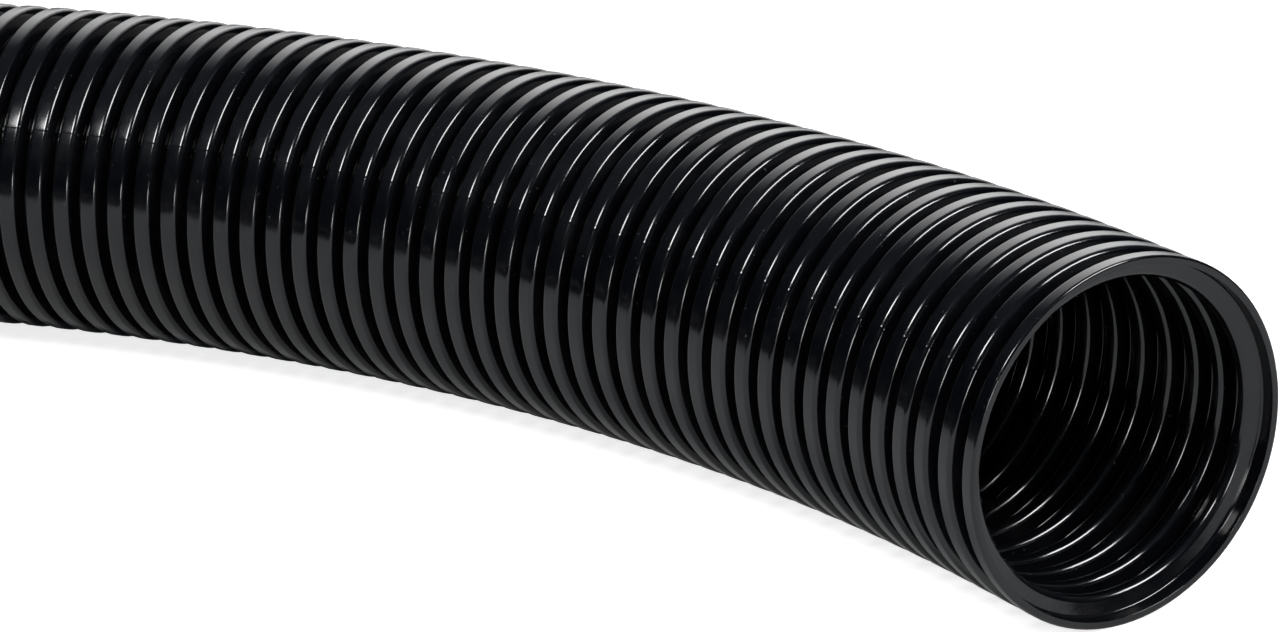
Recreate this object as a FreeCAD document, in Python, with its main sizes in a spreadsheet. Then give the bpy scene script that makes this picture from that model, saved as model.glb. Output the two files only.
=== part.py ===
"""Corrugated cable conduit of nominal width 48: one metre, as it is cut from the coil.

The conduit is one moulded piece of black polyamide with parallel rings. Outside it has broad flat crowns with
narrow grooves between them, and inside each groove stands out as a narrow ridge with a wide hollow beside it.
It lies on the floor in the curve that the coil left in it. All lengths are in millimetres.

Frame: the origin is the middle of the first cut end. +Y points out of that end, +Z is up, and the conduit runs
towards -Y and bends round to +X.

How the shape is made: a crown with its two side walls is straight, so it is a surface turned about the middle
line. All the bending is in the grooves, whose floors are short pieces of a torus. Only the grooves next to the
two ends are straight. One crown and one groove floor of each kind are drawn, copied along the middle line, sewn
into one closed solid, and cut off square at the shoulders of the two end crowns.
"""
import FreeCAD, Part
import Sketcher
import math
import os

V = FreeCAD.Vector
UP = V(0, 0, 1)
MIDDLE_LINE = V(0, 1, 0)
SEWING_GAP = 1e-5

# name, value, what it measures
SIZES = [
    ("outer_diameter", 54.5, "over the crowns"),
    ("profile_height", 4.0, "from the top of a ridge inside to the top of a crown"),
    ("pitch", 5.5, "from crown to crown along the middle line"),
    ("crown_count", 182, "crowns in the whole length"),
    ("straight_grooves", 2, "grooves next to each end that are not bent"),
    ("bend_radius", 310, "of the middle line, as the coil left it"),
    ("crown_width", 3.0, "across a crown with its shoulders"),
    ("groove_width", 1.3, "along a groove's floor, at the middle line"),
    ("shoulder", 0.4, "sloped edge of a crown, across and down"),
    ("crown_wall", 1.2, "thickness under a crown"),
    ("groove_wall", 1.2, "thickness under a groove's floor"),
    ("hollow_width", 2.1, "across the ceiling of the hollow under a crown"),
    ("ridge_edge", 0.35, "sloped edge of an inside ridge, across and up"),
    ("end_cut", 0.95, "from the foot of an end crown's side wall to the cut"),
]

# Lengths that follow from the sheet. A run is the straight stretch of the middle line under one crown.
RUN = "(sizes.pitch - sizes.groove_width)"
CROWN_RADIUS = "(sizes.outer_diameter / 2)"
CEILING_RADIUS = "(sizes.outer_diameter / 2 - sizes.crown_wall)"
BORE_RADIUS = "(sizes.outer_diameter / 2 - sizes.profile_height)"
FLOOR_RADIUS = f"({BORE_RADIUS} + sizes.groove_wall)"
SIDE_SLOPE = f"(({RUN} - sizes.crown_width) / 2)"
HOLLOW_START = f"(({RUN} - sizes.hollow_width) / 2)"
TURN_DEGREES = "(sizes.pitch / sizes.bend_radius * 180 / pi)"
FLOOR_ARC_RADIUS = f"(sizes.bend_radius - {RUN} / 2 / tan({TURN_DEGREES} / 2 * 1 deg))"

# The corners of a crown's first half: how far along its run, and how far from the middle line
OUTSIDE_HALF = [
    ("0", FLOOR_RADIUS),
    (SIDE_SLOPE, f"{CROWN_RADIUS} - sizes.shoulder"),
    (f"{SIDE_SLOPE} + sizes.shoulder", CROWN_RADIUS),
]
INSIDE_HALF = [
    ("0", BORE_RADIUS),
    ("sizes.ridge_edge", f"{BORE_RADIUS} + sizes.ridge_edge"),
    (HOLLOW_START, CEILING_RADIUS),
]


def make_sheet(document):
    """The spreadsheet that holds every driving dimension under its own name."""
    sheet = document.addObject("Spreadsheet::Sheet", "sizes")
    for row, (name, value, meaning) in enumerate(SIZES, start=1):
        sheet.set(f"A{row}", name)
        sheet.set(f"B{row}", str(value))
        sheet.set(f"C{row}", meaning)
        sheet.setAlias(f"B{row}", name)
    document.recompute()
    return sheet


def draw_profile(document, sheet, name, half):
    """A sketch of one side of a crown's wall: X is the distance from the middle line, Y runs along it."""
    corners = half + [(f"{RUN} - ({along})", radius) for along, radius in reversed(half)]
    sketch = document.addObject("Sketcher::SketchObject", name)
    # turned over, so that the run goes from the first cut end towards -Y
    sketch.Placement = FreeCAD.Placement(V(0, 0, 0), FreeCAD.Rotation(V(1, 0, 0), 180))
    sketch.setExpression("Placement.Base.y", "sizes.end_cut")
    rough = [V(sheet.outer_diameter / 2, index * sheet.shoulder, 0) for index in range(len(corners))]
    for line, (start, end) in enumerate(zip(rough, rough[1:])):
        sketch.addGeometry(Part.LineSegment(start, end), False)
        if line:
            sketch.addConstraint(Sketcher.Constraint("Coincident", line - 1, 2, line, 1))
    for index, (along, radius) in enumerate(corners):
        line, end = (index, 1) if index < len(corners) - 1 else (index - 1, 2)
        for kind, size in (("DistanceX", radius), ("DistanceY", along)):
            label = f"{kind}_{index}"
            number = sketch.addConstraint(Sketcher.Constraint(kind, -1, 1, line, end, sheet.pitch))
            sketch.renameConstraint(number, label)
            sketch.setExpression(f"Constraints.{label}", size)
    return sketch


def turn_about_middle_line(document, name, profile):
    """The surface that a profile sweeps when it is turned once about the middle line."""
    surface = document.addObject("Part::Revolution", name)
    surface.Source = profile
    surface.Axis = MIDDLE_LINE
    surface.Angle = 360
    surface.Solid = False
    return surface


def make_groove_floors(document, name, radius):
    """A ring at the end of the run, pushed straight along one groove, and swept through the turn of a bent one."""
    ring = document.addObject("Part::Circle", name + "_ring")
    ring.setExpression("Radius", radius)
    ring.Placement = FreeCAD.Placement(V(0, 0, 0), FreeCAD.Rotation(V(1, 0, 0), 90))
    ring.setExpression("Placement.Base.y", f"sizes.end_cut - {RUN}")
    straight = document.addObject("Part::Extrusion", name + "_straight")
    straight.Base = ring
    straight.Dir = -MIDDLE_LINE
    straight.setExpression("LengthFwd", "sizes.groove_width")
    straight.Solid = False
    bent = document.addObject("Part::Revolution", name + "_bent")
    bent.Source = ring
    bent.Axis = UP
    bent.setExpression("Base.x", FLOOR_ARC_RADIUS)
    bent.setExpression("Base.y", f"sizes.end_cut - {RUN}")
    bent.setExpression("Angle", TURN_DEGREES)
    bent.Solid = False
    return straight, bent


def end_ring(along, inner, outer):
    """A flat ring across the wall, at a distance along the first crown's run."""
    edge = Part.LineSegment(V(inner, -along, 0), V(outer, -along, 0)).toShape()
    return edge.revolve(V(0, 0, 0), MIDDLE_LINE, 360).Faces


def all_faces(surfaces):
    return [face for surface in surfaces for face in surface.Shape.Faces]


def sew_conduit(sheet, crown, straight_groove, bent_groove):
    """All crowns and groove floors as one closed solid, with its ends cut off square."""
    run = sheet.pitch - sheet.groove_width
    turn = math.degrees(sheet.pitch / sheet.bend_radius)
    bend_start = sheet.end_cut - run / 2 - sheet.straight_grooves * sheet.pitch
    bend_centre = V(sheet.bend_radius, bend_start, 0)
    bore_radius = sheet.outer_diameter / 2 - sheet.profile_height
    wall_ends = (bore_radius, bore_radius + sheet.groove_wall)
    last = sheet.crown_count - 1
    bent_grooves = last - 2 * sheet.straight_grooves

    def bends_before(number):
        return min(max(number - sheet.straight_grooves, 0), bent_grooves)

    def at_crown(number, shape):
        """A copy of a shape of the first crown, at the crown of that number."""
        bends = bends_before(number)
        copy = shape.copy()
        copy.translate(V(0, -(number - bends) * sheet.pitch, 0))
        copy.rotate(bend_centre, UP, bends * turn)
        return copy

    faces = end_ring(-sheet.end_cut, *wall_ends)
    for number in range(sheet.crown_count):
        faces += [at_crown(number, face) for face in crown]
        is_bent = bends_before(number + 1) > bends_before(number)
        if number < last:
            faces += [at_crown(number, face) for face in (bent_groove if is_bent else straight_groove)]
    faces += [at_crown(last, face) for face in end_ring(run - sheet.end_cut, *wall_ends)]
    skin = Part.makeCompound(faces)
    skin.sewShape(SEWING_GAP)
    solid = Part.Solid(skin.Shells[0])
    if solid.Volume < 0:
        solid.reverse()
    # a block that covers the conduit from a cut outwards, first at the near end and then at the far one
    reach = 2 * sheet.outer_diameter
    block = Part.makeBox(reach, sheet.pitch, reach, V(-reach / 2, 0, -reach / 2))
    far_block = block.copy()
    far_block.translate(V(0, 2 * sheet.end_cut - run - sheet.pitch, 0))
    return solid.cut(Part.makeCompound([block, at_crown(last, far_block)]))


def check(document):
    """Stops if any object of the document failed, or has an unusable shape."""
    for item in document.Objects:
        if "Invalid" in item.State or "Error" in item.State:
            raise RuntimeError(f"{item.Name} failed: {item.State}")
        if hasattr(item, "Shape") and (item.Shape.isNull() or not item.Shape.isValid()):
            raise RuntimeError(f"{item.Name} has no valid shape")


def main():
    document = FreeCAD.newDocument("corrugated_conduit")
    sheet = make_sheet(document)
    outside = draw_profile(document, sheet, "outside_profile", OUTSIDE_HALF)
    inside = draw_profile(document, sheet, "inside_profile", INSIDE_HALF)
    crown_outside = turn_about_middle_line(document, "crown_outside", outside)
    crown_inside = turn_about_middle_line(document, "crown_inside", inside)
    straight_outside, bent_outside = make_groove_floors(document, "groove_outside", FLOOR_RADIUS)
    straight_inside, bent_inside = make_groove_floors(document, "groove_inside", BORE_RADIUS)
    document.recompute()
    check(document)
    conduit = document.addObject("Part::Feature", "conduit")
    conduit.Label = "conduit"
    conduit.Shape = sew_conduit(
        sheet,
        crown=all_faces([crown_outside, crown_inside]),
        straight_groove=all_faces([straight_outside, straight_inside]),
        bent_groove=all_faces([bent_outside, bent_inside]),
    )
    conduit.Placement = FreeCAD.Placement()
    document.recompute()
    check(document)
    solids = conduit.Shape.Solids
    if len(solids) != 1:
        raise RuntimeError(f"the conduit is {len(solids)} solids")
    box = conduit.Shape.BoundBox
    print(f"conduit: {len(conduit.Shape.Faces)} faces, {conduit.Shape.Volume / 1000:.1f} cubic cm,")
    print(f"X {box.XMin:.2f} to {box.XMax:.2f}, Y {box.YMin:.2f} to {box.YMax:.2f}, Z {box.ZMin:.2f} to {box.ZMax:.2f}")
    os.makedirs("parts", exist_ok=True)
    conduit.Shape.exportStep(f"parts/{conduit.Label}.step")


main()
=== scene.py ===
"""Looks of the corrugated conduit: the moulded wall with its rounded edges, gloss and small mould marks.

The wall's skin is one line that follows the rings along the conduit, swept once round the middle line.
Lengths are in metres.
"""
import bpy
import math
import numpy as np
from mathutils import Matrix, Vector


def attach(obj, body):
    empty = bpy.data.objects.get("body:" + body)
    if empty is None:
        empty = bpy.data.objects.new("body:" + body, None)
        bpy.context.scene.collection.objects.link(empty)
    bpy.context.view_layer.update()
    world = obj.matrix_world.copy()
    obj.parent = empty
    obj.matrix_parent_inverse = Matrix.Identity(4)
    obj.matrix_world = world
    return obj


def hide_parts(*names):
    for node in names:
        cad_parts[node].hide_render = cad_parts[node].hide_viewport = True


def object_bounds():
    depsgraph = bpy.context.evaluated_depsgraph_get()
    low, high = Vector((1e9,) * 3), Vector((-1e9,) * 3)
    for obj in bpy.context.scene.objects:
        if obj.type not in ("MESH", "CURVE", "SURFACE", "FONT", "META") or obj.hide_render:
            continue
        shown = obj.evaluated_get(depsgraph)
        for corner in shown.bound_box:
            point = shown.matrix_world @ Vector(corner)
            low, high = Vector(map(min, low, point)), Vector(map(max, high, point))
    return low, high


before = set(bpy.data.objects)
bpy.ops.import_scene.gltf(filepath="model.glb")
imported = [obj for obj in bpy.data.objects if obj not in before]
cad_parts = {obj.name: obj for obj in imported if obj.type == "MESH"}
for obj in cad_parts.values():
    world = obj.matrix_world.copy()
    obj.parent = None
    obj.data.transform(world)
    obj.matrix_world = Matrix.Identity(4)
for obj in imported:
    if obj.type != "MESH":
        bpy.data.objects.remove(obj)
cad_low, cad_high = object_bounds()

# The conduit's sizes, as in the CAD model
CROWN_RADIUS = -cad_low[0]
PROFILE_HEIGHT = 0.004
PITCH = 0.0055
CROWN_COUNT = 182
STRAIGHT_GROOVES = 2
BEND_RADIUS = 0.31
CROWN_WIDTH = 0.003
GROOVE_WIDTH = 0.0013
SHOULDER = 0.0004
CROWN_WALL = 0.0012
GROOVE_WALL = 0.0012

# A run is the straight stretch under one crown. These are places along it: where the flank of an inside ridge
# leaves the bore, where the ceiling of the hollow starts, and where an end crown is cut off.
RIDGE_START = 0.00025
HOLLOW_START = 0.00105
END_CUT = 0.00095

RUN = PITCH - GROOVE_WIDTH
TURN = PITCH / BEND_RADIUS
BENT_GROOVES = CROWN_COUNT - 1 - 2 * STRAIGHT_GROOVES
BORE_RADIUS = CROWN_RADIUS - PROFILE_HEIGHT
GROOVE_RADIUS = BORE_RADIUS + GROOVE_WALL
CEILING_RADIUS = CROWN_RADIUS - CROWN_WALL
GROOVE_BEND_RADIUS = BEND_RADIUS - RUN / 2 / math.tan(TURN / 2)
BEND_START_Y = END_CUT - RUN / 2 - STRAIGHT_GROOVES * PITCH

# Radii of the rounded edges, which the CAD model leaves sharp or gives a small slope
CROWN_EDGE = 0.0008
GROOVE_CORNER = 0.0003
RIDGE_EDGE = 0.00119
HOLLOW_CORNER = 0.0004
RIM_OUTER_EDGE = 0.0004
RIM_INNER_EDGE = 0.0001

# The saw left the cut face a little hollow: its inner edge lies this much deeper.
RIM_DISH = 0.0001

# A crown is a little higher in its middle than at its edges.
CROWN_DROP = 0.00003

# The two halves of the mould meet along two opposite lines, which show faintly on each crown and as a nub in
# each groove. The fade says how fast the flash falls off from its middle.
PARTING_ANGLES = (math.radians(32), math.radians(212))
FLASH_HALF_WIDTH = 0.0003
FLASH_FADE = 3
GROOVE_FLASH = 0.00022
CROWN_FLASH = 0.000015

# Step over which the slope of the relief is taken, in metres along and in radians round
SLOPE_STEP = 1e-7

# Places of the mesh's steps across a parting line, in half widths of the flash, near the camera and far off
NEAR_FLASH_STEPS = (-2.2, -1.3, -0.75, -0.35, 0, 0.35, 0.75, 1.3, 2.2)
FAR_FLASH_STEPS = (-1.2, 0, 1.2)

# An even step round a ring is left out within this share of half a step from one of those.
CLOSEST_SHARE = 0.3

# Sections of the long piece: crowns, steps round a ring, steps in a rounded edge, steps across a parting line
SECTIONS = [
    (20, 100, 4, NEAR_FLASH_STEPS),
    (20, 100, 4, NEAR_FLASH_STEPS),
    (47, 72, 2, FAR_FLASH_STEPS),
    (47, 72, 2, FAR_FLASH_STEPS),
    (48, 72, 2, FAR_FLASH_STEPS),
]

# The photograph's view: it looks down on the open end, with the far part running off to the left. The camera
# looks at the point AIM from this distance and at these angles. Its lens and sensor are in millimetres.
AIM = Vector((0.0536, -0.0413, 0.0178))
DISTANCE = 0.5591
HEADING = math.radians(-122.165)
LOOK_DOWN_DEGREES = 19.427
ROLL = math.radians(-0.943)
LENS = 113.7
SENSOR = 36
NEAREST_SEEN = 0.01

WHITE = (1, 1, 1, 1)

# The plastic's colour where it is clean and where it is dusty, the most that the thin film of dust covers,
# and the plastic's index of refraction and range of roughness
CLEAN_COLOUR = (0.0019, 0.0021, 0.0029, 1)
DUSTY_COLOUR = (0.05, 0.05, 0.048, 1)
FILM_MOST = 0.08
PLASTIC_IOR = 1.53
ROUGHNESS_RANGE = (0.09, 0.17)

# Noise patterns of the plastic, as (scale, detail, roughness of the pattern)
SPECK_NOISE = (1400, 2, 0.5)
FILM_NOISE = (110, 5, 0.65)
GLOSS_NOISE = (260, 4, 0.5)
GRAIN_NOISE = (900, 3, 0.5)
WAVE_NOISE = (170, 1, 0.5)

# The stretch of the noise over which specks, film and roughness go from their least to their most
SPECK_STRETCH = (0.71, 0.8)
FILM_STRETCH = (0.5, 0.72)
GLOSS_STRETCH = (0.3, 0.7)

# Depth and strength of the fine grain and of the gentle waves in the plastic's surface
GRAIN_BUMP = (0.000012, 0.35)
WAVE_BUMP = (0.00005, 1)

# The studio floor is a paper disc, with a wide surround just under it. The paper glows to the camera alone,
# on top of the light that falls on it.
PAPER_COLOUR = (0.58, 0.58, 0.57, 1)
PAPER_ROUGHNESS = 0.9
PAPER_GLOW_TO_CAMERA = 0.8
DISC_CENTRE = (0.3, -0.13)
DISC_RADIUS = 0.75
DISC_SIDES = 96
SURROUND_SIZE = 12
SURROUND_GAP = 0.0005

# What reflections see of the room: brightness over the height of the direction, 0 down, 0.5 level and 1 up
ROOM = [(0.5, 0.003), (0.65, 0.008), (0.71, 0.025), (0.84, 0.09), (1.0, 0.11)]

# The even light that reaches the object from all over the room, and the slightly blue tint of all that light
AMBIENT = 0.25
ROOM_TINT = (0.86, 0.97, 1.2)

# The large soft light behind the object: where its middle is, how far it reaches, and how bright it is there
GLOW_AZIMUTH = -9
GLOW_ELEVATION = 30
GLOW_REACH = math.radians(43)
GLOW_BRIGHTNESS = 3.3

# Lamps, as (azimuth, elevation, distance, width, height, brightness). A brightness of 1 is white.
LAMPS = {
    "right_key": (-118, 42, 1.3, 0.6, 0.36, 22),
    "left_key": (130, 46, 1.4, 0.5, 0.28, 24),
    "side_key": (119, 43, 1.4, 0.24, 0.2, 9),
    "low_box": (-161, 4, 1.6, 0.3, 0.22, 15),
}

# Numbers of the colour sockets of a Mix node
MIX_FIRST = 6
MIX_SECOND = 7
MIX_RESULT = 2


def rounded_line(corners, steps):
    """Points and directions along a broken line whose corners, (along, radius, rounding), are rounded off."""
    spots = [np.array(corner[:2], float) for corner in corners]
    ways = [(b - a) / np.linalg.norm(b - a) for a, b in zip(spots, spots[1:])]
    rows = [(*spots[0], *ways[0])]
    for spot, (_, _, rounding), before, after in zip(spots[1:-1], corners[1:-1], ways, ways[1:]):
        turn = math.atan2(before[0] * after[1] - before[1] * after[0], before @ after)
        side = math.copysign(1, turn)
        start = spot - before * rounding * math.tan(abs(turn) / 2)
        centre = start + side * rounding * np.array((-before[1], before[0]))
        for angle in np.linspace(0, turn, steps + 1):
            spin = np.array(((math.cos(angle), -math.sin(angle)), (math.sin(angle), math.cos(angle))))
            rows.append((*(centre + spin @ (start - centre)), *(spin @ before)))
    rows.append((*spots[-1], *ways[-1]))
    return np.array(rows)


def mirrored(corners):
    """The same line seen from the other end of the run."""
    return [(RUN - along, radius, rounding) for along, radius, rounding in reversed(corners)]


def outside_corners():
    """Half a groove floor, a side wall, the crown, a side wall and half a groove floor."""
    side_slope = (RUN - CROWN_WIDTH) / 2
    height = CROWN_RADIUS - GROOVE_RADIUS
    edge = side_slope * height / (height - SHOULDER)
    half = [
        (-GROOVE_WIDTH / 2, GROOVE_RADIUS, 0),
        (0, GROOVE_RADIUS, GROOVE_CORNER),
        (edge, CROWN_RADIUS, CROWN_EDGE),
    ]
    return half + mirrored(half)


def inside_corners():
    """Half a ridge, a flank, the hollow's ceiling, a flank and half a ridge."""
    half = [
        (-GROOVE_WIDTH / 2, BORE_RADIUS, 0),
        (RIDGE_START, BORE_RADIUS, RIDGE_EDGE),
        (HOLLOW_START, CEILING_RADIUS, HOLLOW_CORNER),
    ]
    return half + mirrored(half)


def cut_off(corners, rim_edge):
    """A crown's line from the first cut on: from the middle of the cut face, round its edge, and along."""
    face_middle = (END_CUT + RIM_DISH / 2, (CROWN_RADIUS + CEILING_RADIUS) / 2, 0)
    return [face_middle, rim_edge] + [corner for corner in corners if corner[0] > RUN / 2]


def side_rows(corners, rim_edge, is_outside, first, count, steps):
    """The rows of one side of the wall, along all crowns of a section."""
    cut = cut_off(corners, rim_edge)
    chain = []
    for crown in range(first, first + count):
        line = corners
        if crown == 0:
            line = cut
        if crown == CROWN_COUNT - 1:
            line = mirrored(cut)
        rows = rounded_line(line, steps)
        # the next crown's line starts at the point where the last one ended
        if chain:
            rows = rows[1:]
        chain += [(crown, *row, is_outside) for row in rows]
    return chain


def section_rows(first, count, steps):
    """One closed line round a section's wall: out along the outside, back along the inside.

    Each row is (crown, along the run, radius, direction along, direction outwards, is outside)."""
    outer_edge = (END_CUT, CROWN_RADIUS, RIM_OUTER_EDGE)
    inner_edge = (END_CUT + RIM_DISH, CEILING_RADIUS, RIM_INNER_EDGE)
    outer = side_rows(outside_corners(), outer_edge, 1, first, count, steps)
    inner = side_rows(inside_corners(), inner_edge, 0, first, count, steps)
    # both sides start at the same point in the middle of a cut face
    if first == 0:
        inner = inner[1:]
    if first + count == CROWN_COUNT:
        inner = inner[:-1]
    back = [(crown, along, radius, -a, -r, side) for crown, along, radius, a, r, side in reversed(inner)]
    return np.array(outer + back)


def ring_angles(steps, flash_steps):
    """Angles round a ring: even steps, and closer ones at the parting lines."""
    even = np.arange(steps) * 2 * math.pi / steps
    near = np.array(flash_steps) * FLASH_HALF_WIDTH / CROWN_RADIUS
    close = np.concatenate([angle + near for angle in PARTING_ANGLES])
    is_apart = np.abs(even[:, None] - close[None, :]).min(axis=1) > CLOSEST_SHARE * math.pi / steps
    return np.sort(np.concatenate([even[is_apart], close]))


def relief(along, angle, is_outside):
    """How far the outside skin stands off its plain profile: rounded tops, and flash at the parting lines."""
    across = (along - RUN / 2) / (CROWN_WIDTH / 2)
    in_groove = np.clip(across ** 2 - 1, 0, 1)
    height = -CROWN_DROP * np.minimum(across ** 2, 1)
    for parting in PARTING_ANGLES:
        off = (angle - parting + math.pi) % (2 * math.pi) - math.pi
        flash = np.exp(-(off * CROWN_RADIUS / FLASH_HALF_WIDTH) ** 2 * FLASH_FADE)
        height = height + flash * (CROWN_FLASH + GROOVE_FLASH * in_groove)
    return height * is_outside


def wall_points(rows, angles):
    """Places and normals of a section's grid of rows and angles."""
    columns = [column[:, None] for column in rows.T]
    grid = np.broadcast_arrays(*columns, angles[None, :])
    crown, along, radius, way_along, way_out, is_outside, angle = grid
    cos, sin = np.cos(angle), np.sin(angle)
    skin = relief(along, angle, is_outside)
    slope_along = (relief(along + SLOPE_STEP, angle, is_outside) - skin) / SLOPE_STEP
    slope_round = (relief(along, angle + SLOPE_STEP, is_outside) - skin) / SLOPE_STEP
    radius = radius + skin

    # a place at the first crown: straight along the run, and in a bent groove about the groove's own pivot
    straight = np.clip(along, 0, RUN)
    over = along - straight
    groove = crown - (over < 0) - STRAIGHT_GROOVES
    is_bent = (over != 0) & (groove >= 0) & (groove < BENT_GROOVES)
    bend = np.where(is_bent, over / GROOVE_WIDTH * TURN, 0)
    reach = GROOVE_BEND_RADIUS - radius * cos
    x = GROOVE_BEND_RADIUS - reach * np.cos(bend)
    y = END_CUT - straight - np.where(is_bent, reach * np.sin(bend), over)

    # the same place at its own crown, further along the straight end and round the bend
    bends = np.clip(crown - STRAIGHT_GROOVES, 0, BENT_GROOVES)
    turn = bends * TURN
    x = x - BEND_RADIUS
    y = y - (crown - bends) * PITCH - BEND_START_Y
    places = np.stack([
        BEND_RADIUS + x * np.cos(turn) - y * np.sin(turn),
        BEND_START_Y + x * np.sin(turn) + y * np.cos(turn),
        radius * sin,
    ], axis=-1)

    # directions there: forward along the middle line, outward from it, and round it
    heading = bend + turn
    forward = np.stack([np.sin(heading), -np.cos(heading), np.zeros_like(heading)], axis=-1)
    outward = np.stack([cos * np.cos(heading), cos * np.sin(heading), sin], axis=-1)
    round_way = np.stack([-sin * np.cos(heading), -sin * np.sin(heading), cos], axis=-1)
    ahead = np.where(is_bent, reach * TURN / GROOVE_WIDTH, 1.0) * way_along
    out = way_out + slope_along * way_along
    lengthwise = forward * ahead[..., None] + outward * out[..., None]
    crosswise = round_way * radius[..., None] + outward * slope_round[..., None]
    normals = np.cross(crosswise, lengthwise)
    normals /= np.linalg.norm(normals, axis=-1, keepdims=True)
    return places.reshape(-1, 3), normals.reshape(-1, 3)


def make_mesh(name, points, quads, normals):
    """A smooth mesh object of quads with the given normal at each point."""
    mesh = bpy.data.meshes.new(name)
    mesh.vertices.add(len(points))
    mesh.vertices.foreach_set("co", points.astype(np.float32).ravel())
    mesh.loops.add(quads.size)
    mesh.loops.foreach_set("vertex_index", quads.astype(np.int32).ravel())
    mesh.polygons.add(len(quads))
    mesh.polygons.foreach_set("loop_start", np.arange(0, quads.size, 4, dtype=np.int32))
    mesh.update(calc_edges=True)
    mesh.polygons.foreach_set("use_smooth", np.ones(len(quads), bool))
    mesh.normals_split_custom_set_from_vertices(normals.astype(np.float32))
    piece = bpy.data.objects.new(name, mesh)
    bpy.context.scene.collection.objects.link(piece)
    return piece


def make_section(number, first, count, steps_round, steps_edge, flash_steps):
    """One section of the wall, closed at both ends, from the middle of one groove floor to another."""
    rows = section_rows(first, count, steps_edge)
    angles = ring_angles(steps_round, flash_steps)
    points, normals = wall_points(rows, angles)
    row = np.arange(len(rows))[:, None] * len(angles)
    next_row = np.roll(row, -1, axis=0)
    column = np.arange(len(angles))[None, :]
    next_column = np.roll(column, -1, axis=1)
    quads = np.stack([row + column, row + next_column, next_row + next_column, next_row + column], axis=-1)
    return make_mesh(f"conduit_wall_{number}", points, quads.reshape(-1, 4), normals)


def feed(tree, socket, source):
    """Links a socket to another node's output, or gives it a fixed value."""
    if isinstance(source, bpy.types.NodeSocket):
        tree.links.new(source, socket)
    else:
        socket.default_value = source


def math_node(tree, operation, *sources):
    """The result of a calculation with one or two numbers."""
    node = tree.nodes.new("ShaderNodeMath")
    node.operation = operation
    for socket, source in zip(node.inputs, sources):
        feed(tree, socket, source)
    return node.outputs["Value"]


def mix(tree, factor, first, second, blend="MIX"):
    """A blend of two colours."""
    node = tree.nodes.new("ShaderNodeMix")
    node.data_type = "RGBA"
    node.blend_type = blend
    feed(tree, node.inputs["Factor"], factor)
    feed(tree, node.inputs[MIX_FIRST], first)
    feed(tree, node.inputs[MIX_SECOND], second)
    return node.outputs[MIX_RESULT]


def carry_over(tree, value, low, high, to_low=0, to_high=1, curve="LINEAR"):
    """A number carried from one range to another, and held at that range's ends."""
    node = tree.nodes.new("ShaderNodeMapRange")
    node.interpolation_type = curve
    ends = {"From Min": low, "From Max": high, "To Min": to_low, "To Max": to_high}
    for name, end in ends.items():
        node.inputs[name].default_value = end
    feed(tree, node.inputs["Value"], value)
    return node.outputs["Result"]


def noise(tree, place, scale, detail, roughness):
    """A noise pattern over the given place."""
    node = tree.nodes.new("ShaderNodeTexNoise")
    node.inputs["Scale"].default_value = scale
    node.inputs["Detail"].default_value = detail
    node.inputs["Roughness"].default_value = roughness
    feed(tree, node.inputs["Vector"], place)
    return node.outputs["Fac"]


def bump(tree, height, depth, strength):
    """A node that tilts the surface's normal by a height pattern."""
    node = tree.nodes.new("ShaderNodeBump")
    node.inputs["Distance"].default_value = depth
    node.inputs["Strength"].default_value = strength
    feed(tree, node.inputs["Height"], height)
    return node


def new_material(name):
    """A material with its node tree and its Principled shader."""
    material = bpy.data.materials.new(name)
    material.use_nodes = True
    return material, material.node_tree, material.node_tree.nodes["Principled BSDF"]


def polyamide():
    """Glossy black polyamide: gently wavy, uneven in its gloss, with a thin film of dust and a few specks."""
    material, tree, shader = new_material("black_polyamide")
    shader.inputs["IOR"].default_value = PLASTIC_IOR
    place = tree.nodes.new("ShaderNodeTexCoord").outputs["Object"]

    specks = carry_over(tree, noise(tree, place, *SPECK_NOISE), *SPECK_STRETCH)
    film = carry_over(tree, noise(tree, place, *FILM_NOISE), *FILM_STRETCH, to_high=FILM_MOST)
    dust = math_node(tree, "MAXIMUM", specks, film)
    feed(tree, shader.inputs["Base Color"], mix(tree, dust, CLEAN_COLOUR, DUSTY_COLOUR))

    roughness = carry_over(tree, noise(tree, place, *GLOSS_NOISE), *GLOSS_STRETCH, *ROUGHNESS_RANGE)
    feed(tree, shader.inputs["Roughness"], roughness)

    grain = bump(tree, noise(tree, place, *GRAIN_NOISE), *GRAIN_BUMP)
    waves = bump(tree, noise(tree, place, *WAVE_NOISE), *WAVE_BUMP)
    feed(tree, waves.inputs["Normal"], grain.outputs["Normal"])
    feed(tree, shader.inputs["Normal"], waves.outputs["Normal"])
    return material


def studio_paper():
    """White paper. It glows to the camera alone, so that it stays white there, and keeps the shadow."""
    material, tree, shader = new_material("white_paper")
    shader.inputs["Base Color"].default_value = PAPER_COLOUR
    shader.inputs["Roughness"].default_value = PAPER_ROUGHNESS
    shader.inputs["Specular IOR Level"].default_value = 0
    shader.inputs["Emission Color"].default_value = WHITE
    seen = tree.nodes.new("ShaderNodeLightPath").outputs["Is Camera Ray"]
    feed(tree, shader.inputs["Emission Strength"], math_node(tree, "MULTIPLY", seen, PAPER_GLOW_TO_CAMERA))
    return material


def direction(azimuth, elevation):
    """A unit vector. Azimuth 0 points away from the camera, to behind the object, and grows to the left."""
    turn = HEADING + math.radians(azimuth)
    rise = math.radians(elevation)
    return Vector((math.cos(rise) * math.cos(turn), math.cos(rise) * math.sin(turn), math.sin(rise)))


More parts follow.
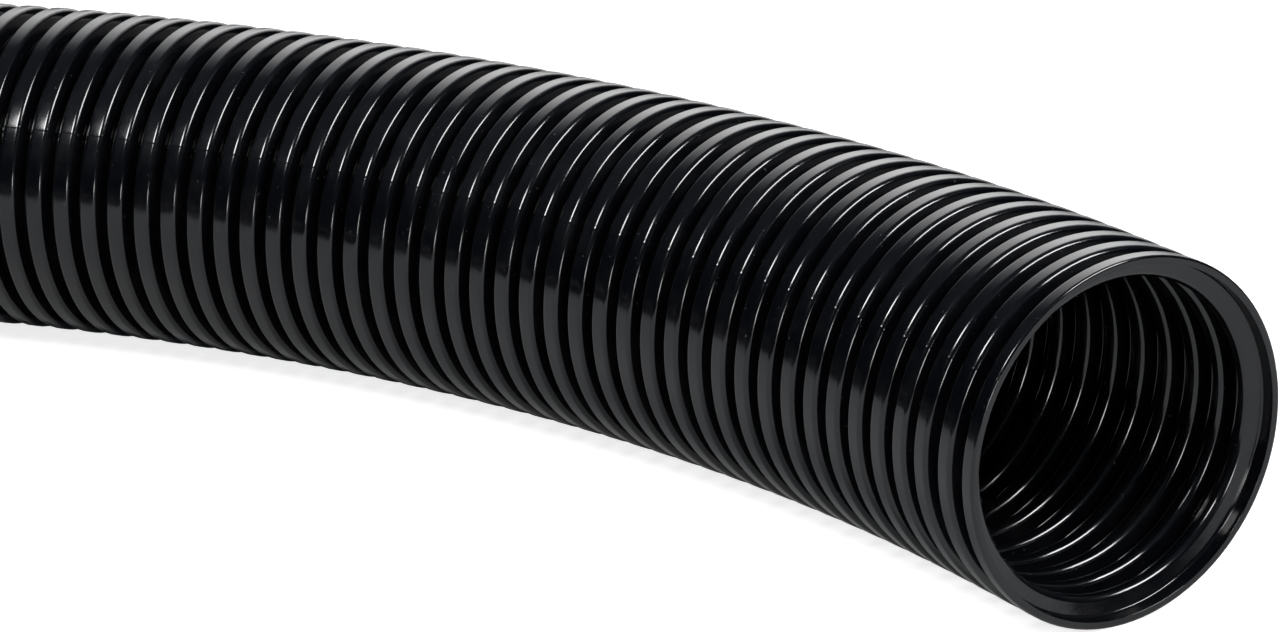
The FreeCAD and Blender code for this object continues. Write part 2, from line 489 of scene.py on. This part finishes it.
def make_camera():
    """The photograph's camera, turned a little about its own line of sight."""
    forward = direction(0, -LOOK_DOWN_DEGREES)
    level = forward.cross(Vector((0, 0, 1))).normalized()
    top = level.cross(forward)
    right = level * math.cos(ROLL) + top * math.sin(ROLL)
    up = right.cross(forward)
    data = bpy.data.cameras.new("camera")
    data.lens = LENS
    data.sensor_width = SENSOR
    data.sensor_fit = "HORIZONTAL"
    data.clip_start = NEAREST_SEEN
    camera = bpy.data.objects.new("camera", data)
    bpy.context.scene.collection.objects.link(camera)
    turn = Matrix((right, up, -forward)).transposed().to_4x4()
    camera.matrix_world = Matrix.Translation(AIM - forward * DISTANCE) @ turn
    bpy.context.scene.camera = camera


def make_softbox(name, azimuth, elevation, distance, width, height, brightness):
    """A rectangular lamp that faces the object."""
    data = bpy.data.lights.new(name, "AREA")
    data.shape = "RECTANGLE"
    data.size = width
    data.size_y = height
    data.energy = brightness * math.pi * width * height
    lamp = bpy.data.objects.new(name, data)
    bpy.context.scene.collection.objects.link(lamp)
    way = direction(azimuth, elevation)
    lamp.location = AIM + way * distance
    lamp.rotation_euler = way.to_track_quat("Z", "Y").to_euler()


def make_floor():
    """A white disc that the conduit lies on, and a wide surround which reflections don't see."""
    low = -CROWN_RADIUS
    bpy.ops.mesh.primitive_circle_add(
        vertices=DISC_SIDES, radius=DISC_RADIUS, fill_type="NGON", location=(*DISC_CENTRE, low))
    disc = bpy.context.object
    disc.name = "floor"
    bpy.ops.mesh.primitive_plane_add(size=SURROUND_SIZE, location=(*DISC_CENTRE, low - SURROUND_GAP))
    surround = bpy.context.object
    surround.name = "floor_surround"
    surround.visible_glossy = False
    surround.visible_shadow = False
    paper = studio_paper()
    for piece in (disc, surround):
        piece.data.materials.append(paper)


def tinted(brightness):
    """A brightness of the room as a colour."""
    return (*(brightness * tint for tint in ROOM_TINT), 1)


def room_ramp(tree, value):
    """The room's colour over a value from 0 to 1, in straight stretches between its stops."""
    node = tree.nodes.new("ShaderNodeValToRGB")
    stops = node.color_ramp.elements
    while len(stops) < len(ROOM):
        stops.new(1)
    for stop, (place, brightness) in zip(stops, ROOM):
        stop.position = place
        stop.color = tinted(brightness)
    feed(tree, node.inputs["Fac"], value)
    return node.outputs["Color"]


def make_world():
    """A room that is white to the camera, dark with a soft light to reflections, and even to the rest."""
    world = bpy.data.worlds.new("studio")
    bpy.context.scene.world = world
    world.use_nodes = True
    tree = world.node_tree
    way = tree.nodes.new("ShaderNodeTexCoord").outputs["Generated"]
    parts = tree.nodes.new("ShaderNodeSeparateXYZ")
    feed(tree, parts.inputs["Vector"], way)
    room = room_ramp(tree, carry_over(tree, parts.outputs["Z"], -1, 1))

    toward = tree.nodes.new("ShaderNodeVectorMath")
    toward.operation = "DOT_PRODUCT"
    feed(tree, toward.inputs[0], way)
    feed(tree, toward.inputs[1], direction(GLOW_AZIMUTH, GLOW_ELEVATION))
    apart = math_node(tree, "ARCCOSINE", toward.outputs["Value"])
    glow = carry_over(tree, apart, 0, GLOW_REACH, GLOW_BRIGHTNESS, 0, "SMOOTHSTEP")
    reflected = mix(tree, 1, room, glow, "ADD")

    path = tree.nodes.new("ShaderNodeLightPath").outputs
    on_object = mix(tree, path["Is Glossy Ray"], tinted(AMBIENT), reflected)
    is_seen = math_node(tree, "MAXIMUM", path["Is Camera Ray"], path["Is Transmission Ray"])
    feed(tree, tree.nodes["Background"].inputs["Color"], mix(tree, is_seen, on_object, WHITE))


def main():
    """Dresses the conduit in its sections of wall, and sets up the studio."""
    bpy.context.scene.view_settings.view_transform = "Standard"
    material = polyamide()
    first = 0
    for number, (count, *steps) in enumerate(SECTIONS, start=1):
        piece = make_section(number, first, count, *steps)
        piece.data.materials.append(material)
        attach(piece, "root")
        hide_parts("conduit")
        print(piece.name, 2 * len(piece.data.polygons), "triangles")
        first += count
    make_floor()
    make_world()
    make_camera()
    for name, lamp in LAMPS.items():
        make_softbox(name, *lamp)


main()
